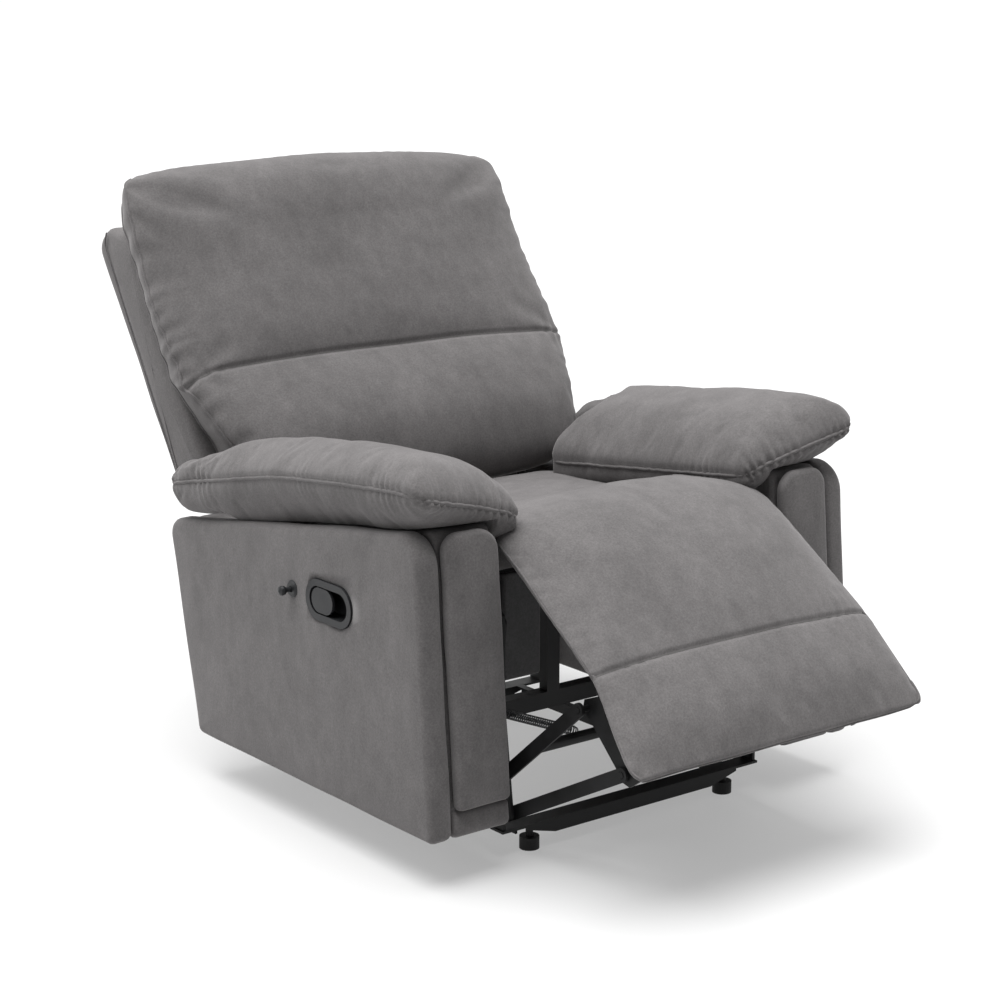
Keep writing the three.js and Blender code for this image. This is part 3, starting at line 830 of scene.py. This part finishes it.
def dome(distance, width):
    """A round shoulder: 0 at an edge, rising to 1 at the width."""
    return np.sqrt(np.clip(1 - (1 - np.clip(distance / width, 0, 1)) ** 2, 0, 1))


def pillow_grids():
    """The pillow's top and underside."""
    plan, distance = pillow_plan()
    x, y = plan[..., 0], plan[..., 1]
    seam_z = pillow_seam_height(x, y)
    to_front = np.clip((PILLOW_REAR_Y - y) / 0.72, 0, 1)
    ends = dome(PILLOW_REAR_Y - y, 0.14) ** 0.9 * dome(y - PILLOW_FRONT_Y, 0.12) ** 0.7
    loft = np.interp(to_front, [0, 0.25, 0.6, 0.9, 1], [0.076, 0.080, 0.078, 0.072, 0.070]) * ends
    sink = np.interp(to_front, [0, 0.30, 0.7, 1], [0.066, 0.056, 0.046, 0.044])
    sink = sink * np.clip(0.35 + 0.65 * dome(y + 0.360, 0.12), 0, 1)
    sink = sink * (0.55 + 0.45 * dome(0.325 - y, 0.12))
    bulge = 0.010 * dome(distance, 0.03) * (1 - dome(distance, 0.09))
    bulge = bulge * np.where(x > PILLOW_MIDDLE_X, 1, -1)
    top = np.dstack([x + bulge, y, seam_z + loft * dome(distance, 0.085)])
    bottom = np.dstack([x, y, seam_z - sink * dome(distance, 0.050)])
    return top, bottom


def pillow_shell(side, label):
    """The closed pillow, and the points of its seam in order round it."""
    top, bottom = pillow_grids()
    rows, columns = PILLOW_ROWS, PILLOW_COLUMNS
    loops = np.array([list(top[r]) + list(bottom[r][::-1][1:-1]) for r in range(rows)])
    loops[:, :, 0] *= side
    around = loops.shape[1]
    faces = ring_faces(rows, around)
    for base in (0, (rows - 1) * around):
        for k in range(columns - 1):
            under = [base + (around - m) % around if m < columns - 1 else base + m for m in (k + 1, k)]
            corners = [base + k, base + k + 1, *under]
            faces.append(tuple(v for m, v in enumerate(corners) if v not in corners[:m]))
    pillow = add_piece(f"arm_pillow_{label}", loops.reshape(-1, 3), faces, "suede")
    seam = [r * around for r in range(rows)]
    seam += [(rows - 1) * around + k for k in range(1, columns)]
    seam += [r * around + columns - 1 for r in reversed(range(rows - 1))]
    seam += list(reversed(range(1, columns - 1)))
    return pillow, seam


def pillow_pucker(points):
    """Deep gathers at the two ends, and one pinch between them."""
    y = points[:, 1]
    ends = bell(y + 0.36, 0.13) + 0.75 * bell(y - 0.27, 0.12)
    return 0.0042 * np.clip(0.06 + ends + 0.5 * bell(y + 0.07, 0.022), 0, 1)


def arm_pillow(side, label):
    """A stuffed pillow with a gathered seam all round; its inner half hangs down over the seat."""
    pillow, seam = pillow_shell(side, label)
    inflate(pillow, seam, 0.012, 0.012, stiffness=12, bending=0.6)
    subdivide(pillow)
    wave(pillow, 0.0012, 0.10, 21)
    path = smooth_path(points_of(pillow)[seam + seam[:1]], 6, closed=True)
    press_seam(pillow, path, 0.0030, 0.0045)
    gather(pillow, path, pillow_pucker, 0.0150, 0.0165, 25)
    rest_on_arm(pillow)
    path = smooth_path(points_of(pillow)[seam], 8, closed=True)
    path[:, 2] += 0.0005 * smooth_noise(path, 0.018, 5)
    place(pillow, "chair_base", "suede", [f"arm_pillow_{label}"], 0.7)
    welt = tube_along(f"arm_pillow_welt_{label}", path, 0.0030, "suede", closed=True)
    place(welt, "chair_base", "suede")


def rest_on_arm(pillow):
    """Flattens the pillow's underside where it lies on the arm's top."""
    co = points_of(pillow)
    over = np.abs(co[:, 0]) > ARM_INNER - 0.004
    floor = arm_top(co[:, 1]) + 0.0015
    co[:, 2] = np.where(over & (co[:, 2] < floor), floor, co[:, 2])
    set_points(pillow, co)


# ---- arms ----
SIDE_THICKNESS = 0.044
SKIN_GAP = 0.0005  # the side panel stays this much inside the frame's outer face
CORE_GAP = 0.0015
ARM_SIDE = [(-0.403, 0.073, 0.014), (0.272, 0.073, 0.014), (0.352, 0.433, 0.030), (-0.366, 0.5435, 0.052)]
ARM_CORE = [
    (-0.400, 0.0745, 0.010), (0.270, 0.0745, 0.012), (0.348, 0.431, 0.026),
    (-0.350, 0.5380, 0.016), (-0.3865, 0.118, 0.004), (-0.3965, 0.114, 0.006)]
FRONT_PAD_FOOT = np.array([-0.3985, 0.119])
FRONT_PAD_HEAD = np.array([-0.3635, 0.537])
FRONT_PAD_THICKNESS = 0.022
FRONT_PAD_SUNK = 0.010
FRONT_PAD_ROUNDS = (0.036, 0.030)  # its top corners, on the arm's inner and outer side
BEZEL_CLEARANCE = 0.001


def arms(side, label):
    near, far = sorted((side * (ARM_OUTER - SIDE_THICKNESS), side * (ARM_OUTER - SKIN_GAP)))
    panel = slab(f"arm_side_{label}", rounded_outline(ARM_SIDE), near, far, 0.013, "suede", 0.0030)
    wave(panel, 0.0008, 0.16, 31)
    if side < 0:
        cut_bezel_hole(panel)
    place(panel, "chair_base", "suede", [f"arm_outer_panel_{label}"], 0.95)
    near, far = sorted((side * ARM_INNER, side * (ARM_OUTER - SIDE_THICKNESS - CORE_GAP)))
    core = slab(f"arm_core_{label}", rounded_outline(ARM_CORE), near, far, 0.008, "suede", 0.002)
    wave(core, 0.0008, 0.16, 37)
    hidden = [f"arm_inner_panel_{label}", f"arm_front_panel_{label}", f"arm_top_and_rear_{label}"]
    place(core, "chair_base", "suede", hidden, 0.95)
    front_pad(side, label, near, far)


def front_pad(side, label, near, far):
    """The raised pad let into the front of the arm, drawn face on in (x, height up the front)."""
    height = np.linalg.norm(FRONT_PAD_HEAD - FRONT_PAD_FOOT)
    up = (FRONT_PAD_HEAD - FRONT_PAD_FOOT) / height
    out = np.array([-up[1], up[0]])
    x0, x1 = near + 0.002, far - 0.004
    low_round, high_round = FRONT_PAD_ROUNDS if side > 0 else FRONT_PAD_ROUNDS[::-1]
    outline = rounded_outline([
        (x0, 0.0, 0.010), (x1, 0.0, 0.010), (x1, height, high_round), (x0, height, low_round)], 0.005)
    pad = slab(f"arm_front_pad_{label}", outline, 0.0, FRONT_PAD_THICKNESS, 0.009, "suede", 0.005, step=0.004)
    depth, x, rise = points_of(pad).T
    upright = FRONT_PAD_FOOT + up * rise[:, None] + out * (depth - FRONT_PAD_SUNK)[:, None]
    set_points(pad, np.column_stack([x, upright]))
    pad.data.flip_normals()
    wave(pad, 0.0008, 0.12, 41)
    place(pad, "chair_base", "suede", [f"arm_front_pad_{label}"], 0.85)


def racetrack(centre, length, height, count=64):
    """A closed outline with straight long sides and round ends."""
    reach = (length - height) / 2
    points = []
    for k in range(count):
        angle = 2 * math.pi * (k + 0.5) / count - math.pi / 2
        middle = centre[0] + (reach if math.cos(angle) > 0 else -reach)
        points.append((middle + height / 2 * math.cos(angle), centre[1] + height / 2 * math.sin(angle)))
    return np.array(points)


def cut_bezel_hole(panel):
    low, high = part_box("handle_bezel")
    centre = ((low[1] + high[1]) / 2 - CHAIR_Y, (low[2] + high[2]) / 2)
    outline = racetrack(centre, high[1] - low[1] + BEZEL_CLEARANCE, high[2] - low[2] + BEZEL_CLEARANCE)
    cutter = slab("bezel_cutter", outline, -ARM_OUTER - 0.02, -ARM_OUTER + 0.060, 0.0002, "suede", rings=2)
    modifier = panel.modifiers.new("hole", "BOOLEAN")
    modifier.operation = "DIFFERENCE"
    modifier.object = cutter
    modifier.solver = "EXACT"
    apply_modifiers(panel)
    bpy.data.objects.remove(cutter)


# ---- back ----
BACK_FRAME = [
    (0.304, 0.485, 0.008), (0.396, 0.425, 0.012), (0.680, 0.861, 0.030), (0.640, 0.894, 0.020),
    (0.551, 0.886, 0.012)]
BACK_FRAME_SEAM = [(0.383, 0.440), (0.50, 0.628), (0.620, 0.825), (0.640, 0.862), (0.634, 0.885)]
BACK_LOWER = [
    (0.267, 0.428, 0.006), (0.358, 0.368, 0.010), (0.396, 0.427, 0.003), (0.312, 0.486, 0.003)]
BACK_SEAM_Z = 0.664
BACK_ROWS = 118
BACK_COLUMNS = 96
BACK_WALLS = 6
BACK_BOX_TUCK = 0.014  # how much narrower the rear face is on each side
SEAM_SAG = 0.014  # the cross seam's drop at its right end
TOP_ARCH = 0.018  # the top's rise in the middle


def back_frame():
    shell = slab("back_frame", rounded_outline(BACK_FRAME), -0.379, 0.379, 0.016, "suede", 0.004)
    wave(shell, 0.0010, 0.18, 51)
    for side in (-1, 1):
        path = np.column_stack([np.full(80, side * 0.3815), spline(BACK_FRAME_SEAM, 80)])
        press_seam(shell, path, 0.0022, 0.004)
        welt = tube_along(f"back_frame_welt_{side + 1}", path, 0.0014, "suede")
        place(welt, "back", "suede")
    place(shell, "back", "suede", ["back_frame"], 0.95)
    lower = slab("back_lower", rounded_outline(BACK_LOWER), -0.2545, 0.2545, 0.008, "suede_dark", 0.001)
    place(lower, "back", "suede")


def back_grid():
    """The back cushion's front and rear faces as grids, and the row of its cross seam."""
    front_edge = smooth_path(spline([
        (0.242, 0.452), (0.204, 0.474), (0.256, 0.562), (0.345, 0.666), (0.408, 0.742), (0.456, 0.808),
        (0.500, 0.902), (0.526, 0.958), (0.546, 0.982), (0.572, 0.984)], BACK_ROWS), 24)
    rear_edge = spline([
        (0.276, 0.450), (0.303, 0.4855), (0.43, 0.692), (0.5505, 0.8865), (0.572, 0.925),
        (0.580, 0.968)], BACK_ROWS)
    _, out = path_frame(front_edge)
    seam_row = int(np.argmin(np.abs(front_edge[:, 1] - BACK_SEAM_Z)))
    seam = seam_row / (BACK_ROWS - 1)
    crown = values_along(BACK_ROWS, [
        (0, 0.004), (0.06, 0.032), (seam * 0.5, 0.060), (seam - 0.08, 0.056), (seam, 0.043),
        (seam + 0.08, 0.056), (seam + 0.20, 0.064), (0.70, 0.062), (0.84, 0.046), (0.93, 0.026), (1, 0.004)])
    half = values_along(BACK_ROWS, [
        (0, 0.252), (0.045, 0.262), (0.075, 0.340), (0.20, 0.362), (seam - 0.05, 0.396), (seam, 0.405),
        (0.55, 0.405), (0.86, 0.403), (0.93, 0.398), (0.975, 0.386), (1, 0.364)])
    t = np.linspace(0, 1, BACK_ROWS)
    wide = half + 0.0016 * smooth_noise(on_line(t * 0.62), 0.050, 63)
    overhang = np.interp(t, [0, seam, seam + 0.12, 0.85, 1], [0.004, 0.012, 0.020, 0.018, 0.004])
    u = spread(BACK_COLUMNS, 0.93)
    side = np.abs(u)
    rise = crown[:, None] * (1 - side ** 3.4) ** 0.6
    near_side = np.sin(math.pi * np.clip((side - 0.70) / 0.30, 0, 1))
    arch = TOP_ARCH * (1 - side ** 2.4) * np.clip((t[:, None] - 0.80) / 0.14, 0, 1)
    sag = SEAM_SAG * np.clip((-u - 0.86) / 0.14, 0, 1) * bell(t[:, None] - seam, 0.03)
    front = np.zeros((BACK_ROWS, BACK_COLUMNS, 3))
    rear = np.zeros((BACK_ROWS, BACK_COLUMNS, 3))
    front[..., 0] = wide[:, None] * u + np.sign(u) * overhang[:, None] * near_side
    front[..., 1:] = front_edge[:, None] + out[:, None] * rise[..., None]
    front[..., 2] += arch - sag
    rear[..., 0] = (wide - BACK_BOX_TUCK)[:, None] * u
    rear[..., 1:] = rear_edge[:, None]
    rear[..., 2] += arch * np.clip((t[:, None] - 0.9) / 0.1, 0, 1)
    return front, rear, seam_row


def back_pucker(points):
    """The cross seam is drawn in only near its two ends."""
    return 0.0003 + 0.0016 * np.clip((np.abs(points[:, 0]) - 0.30) / 0.06, 0, 1)


def back_cushion():
    """Front panel over the fill, boxed at the sides and wrapped over the top."""
    front, rear, seam_row = back_grid()
    cushion = grid_shell("back_cushion", front, rear, BACK_WALLS, "suede", 0.002)
    seams, held = seam_indices(BACK_ROWS, BACK_COLUMNS, BACK_WALLS, seam_row)
    inflate(cushion, held, 0.001, 0.006, bending=8.0)
    subdivide(cushion)
    wave(cushion, 0.0009, 0.16, 61)
    co = points_of(cushion)
    press_seam(cushion, co[seams["cross"]], 0.0042, 0.0032)
    gather(cushion, co[seams["cross"]], back_pucker, 0.026, 0.022, 81)
    for side, seed in (("right", 83), ("left", 87)):
        press_seam(cushion, co[seams[side]], 0.0025, 0.005)
        gather(cushion, co[seams[side]], 0.0017, 0.030, 0.020, seed)
    gather(cushion, co[seams["end"]], 0.0008, 0.030, 0.018, 89)
    co = points_of(cushion)
    paths = {
        "back_welt": np.vstack([co[seams["right"]], co[seams["end"]], co[seams["left"]][::-1]]),
        "back_rear_welt_right": co[seams["rear_right"]],
        "back_rear_welt_left": co[seams["rear_left"]],
    }
    seam_path = co[seams["cross"]][1:-1]
    place(cushion, "back", "suede", ["back_cushion"], 0.75)
    for name, path in paths.items():
        place(tube_along(name, resample(path, 520), 0.0026, "suede"), "back", "suede")
    stitch = tube_along("back_cross_seam", resample(seam_path, 240), 0.0007, "thread")
    place(stitch, "back", "dark_suede")


# ---- dark panels in front of the mechanism ----
WING_RADIUS = 0.003
WING_RETURN = 0.048  # how far back the cloth runs beside the mechanism
WING_RETURN_THICKNESS = 0.005


def front_wings(side, label):
    """A panel across the front, whose cloth turns the corner and runs back beside the mechanism."""
    low, high = (np.array(c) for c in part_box(f"front_wing_{label}"))
    front_y, rear_y = low[1] - CHAIR_Y, high[1] - CHAIR_Y
    corners = [(front_y, low[2]), (rear_y, low[2]), (rear_y, high[2]), (front_y, high[2])]
    outline = rounded_outline([(*corner, WING_RADIUS) for corner in corners], 0.004)
    panel = slab(f"front_wing_{label}", outline, low[0], high[0], 0.004, "suede_dark", 0.001)
    place(panel, "chair_base", "dark_suede", [f"front_wing_{label}"])
    edge = high[0] if side > 0 else low[0]
    near, far = sorted((edge, edge - side * WING_RETURN_THICKNESS))
    start, end = rear_y - 0.004, rear_y + WING_RETURN
    bottom, top = low[2] + 0.002, high[2] - 0.002
    corners = [(start, bottom), (end, bottom + 0.018), (end, top), (start, top)]
    outline = rounded_outline([(*corner, WING_RADIUS) for corner in corners], 0.004)
    turn = slab(f"front_wing_return_{label}", outline, near, far, 0.002, "suede_dark", 0.0005)
    place(turn, "chair_base", "dark_suede")


# ---- extension springs ----
SPRING_COILS = 34
SPRING_WIRE_RADIUS = 0.0010
SPRING_HOOK = 0.10  # share of the length that each hooked end takes


def extension_spring(label):
    """Close coils between two hooked ends, along the frame's own spring."""
    low, high = (np.array(c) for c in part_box(f"extension_spring_{label}"))
    x = (low[0] + high[0]) / 2
    reach = (high[0] - low[0]) / 2 - SPRING_WIRE_RADIUS
    rear = np.array([x, high[1], low[2] + reach + SPRING_WIRE_RADIUS])
    front = np.array([x, low[1], high[2] - reach - SPRING_WIRE_RADIUS])
    t = np.linspace(0, 1, 1400)
    grow = np.clip(np.minimum(t, 1 - t) / SPRING_HOOK, 0, 1)
    coiled = np.clip((t - SPRING_HOOK * 0.6) / (1 - SPRING_HOOK * 1.2), 0, 1)
    turn = 2 * math.pi * SPRING_COILS * coiled
    across = np.array([1.0, 0.0, 0.0])
    upward = np.cross(unit(front - rear), across)
    path = rear + (front - rear) * t[:, None]
    path = path + reach * grow[:, None] * (np.cos(turn)[:, None] * across + np.sin(turn)[:, None] * upward)
    spring = tube_along(f"extension_spring_coil_{label}", path, SPRING_WIRE_RADIUS, "oiled", 6)
    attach(spring, "chair_base")
    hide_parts(f"extension_spring_{label}")


# ---- the frame's own nodes ----
NODE_MATERIALS = [
    (("base_", "side_plate", "mechanism", "rear_cross", "swing", "lift"), "steel"),
    (("footrest_bracket", "back_bracket"), "steel"),
    (("seat_spring", "extension_spring", "lever_pin"), "oiled"),
    (("handle_bezel", "release_lever", "knob_escutcheon", "pull_knob"), "plastic"),
    (("foot_", "release_cable"), "rubber"),
    (("seat_rear_rail",), "wood"),
    (("footrest_board", "seat_side_rail", "seat_front_rail"), "dust_cover"),
    (("",), "suede"),
]
BEVELLED = ("steel", "plastic", "rubber", "wood")
BEVEL_WIDTH = 0.0009


def dress_frame():
    for name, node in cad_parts.items():
        key = next(key for starts, key in NODE_MATERIALS if name.startswith(starts))
        node.data.materials.clear()
        node.data.materials.append(MATERIALS[key])
        if key in BEVELLED:
            bevel = node.modifiers.new("edges", "BEVEL")
            bevel.width = BEVEL_WIDTH
            bevel.segments = 2
            bevel.limit_method = "ANGLE"
            bevel.angle_limit = math.radians(40)
            bevel.harden_normals = False


# ---- floor and light ----
FLOOR_SIZE = 40.0
FLOOR_SHADE = 0.35
# the floor glows though it is no lamp: painted light that lightens the shadows round the chair and lights it
# from below
FLOOR_GLOW = 0.35
SHADE_SIDE = (-0.34, -0.83, -0.44)  # the studio is darker towards this side
SHADE_FROM, SHADE_TO = -0.55, 0.75  # how far towards it a direction points when the shade starts and ends
STUDIO_LEVEL = 1.03
SHADE_LEVEL = 0.06
SUN_DIRECTION = (0.16, -0.04, -1.0)
SUN_ANGLE = 50
SUN_STRENGTH = 5.0


def stage():
    mesh = bpy.data.meshes.new("floor")
    s = FLOOR_SIZE
    mesh.from_pydata([(-s, -s, 0), (s, -s, 0), (s, s, 0), (-s, s, 0)], [], [(0, 1, 2, 3)])
    floor = bpy.data.objects.new("floor", mesh)
    bpy.context.scene.collection.objects.link(floor)
    material, _, shader = node_material("studio_floor")
    shader.inputs["Base Color"].default_value = (FLOOR_SHADE, FLOOR_SHADE, FLOOR_SHADE, 1)
    # painted light: the floor's glow lightens the shadows under the chair
    shader.inputs["Emission Color"].default_value = (1, 1, 1, 1)
    shader.inputs["Emission Strength"].default_value = FLOOR_GLOW
    shader.inputs["Roughness"].default_value = 0.6
    shader.inputs["Specular IOR Level"].default_value = 0.2
    mesh.materials.append(material)


def studio_world():
    """White all round, falling to grey low down in front of the chair."""
    world = bpy.data.worlds.new("studio")
    bpy.context.scene.world = world
    world.use_nodes = True
    tree = world.node_tree
    background = tree.nodes["Background"]
    background.inputs["Color"].default_value = (1.0, 1.0, 1.0, 1)
    coords = tree.nodes.new("ShaderNodeTexCoord")
    facing = tree.nodes.new("ShaderNodeVectorMath")
    facing.operation = "DOT_PRODUCT"
    facing.inputs[1].default_value = SHADE_SIDE
    fade = tree.nodes.new("ShaderNodeMapRange")
    fade.interpolation_type = "SMOOTHSTEP"
    fade.inputs["From Min"].default_value = SHADE_FROM
    fade.inputs["From Max"].default_value = SHADE_TO
    fade.inputs["To Min"].default_value = STUDIO_LEVEL
    fade.inputs["To Max"].default_value = SHADE_LEVEL
    tree.links.new(coords.outputs["Generated"], facing.inputs[0])
    tree.links.new(facing.outputs["Value"], fade.inputs["Value"])
    tree.links.new(fade.outputs["Result"], background.inputs["Strength"])


def sun():
    data = bpy.data.lights.new("key", "SUN")
    data.energy = SUN_STRENGTH
    data.angle = math.radians(SUN_ANGLE)
    light = bpy.data.objects.new("key", data)
    bpy.context.scene.collection.objects.link(light)
    light.rotation_euler = Vector(SUN_DIRECTION).to_track_quat("-Z", "Y").to_euler()


def lights():
    studio_world()
    sun()
    bpy.context.scene.view_settings.view_transform = "Standard"


add_camera()
chaise_pad()
footrest_board()
seat_cushion()
for arm_side, arm_label in ((-1, "right"), (1, "left")):
    arm_pillow(arm_side, arm_label)
    arms(arm_side, arm_label)
    front_wings(arm_side, arm_label)
    extension_spring(arm_label)
back_frame()
back_cushion()
dress_frame()
stage()
lights()
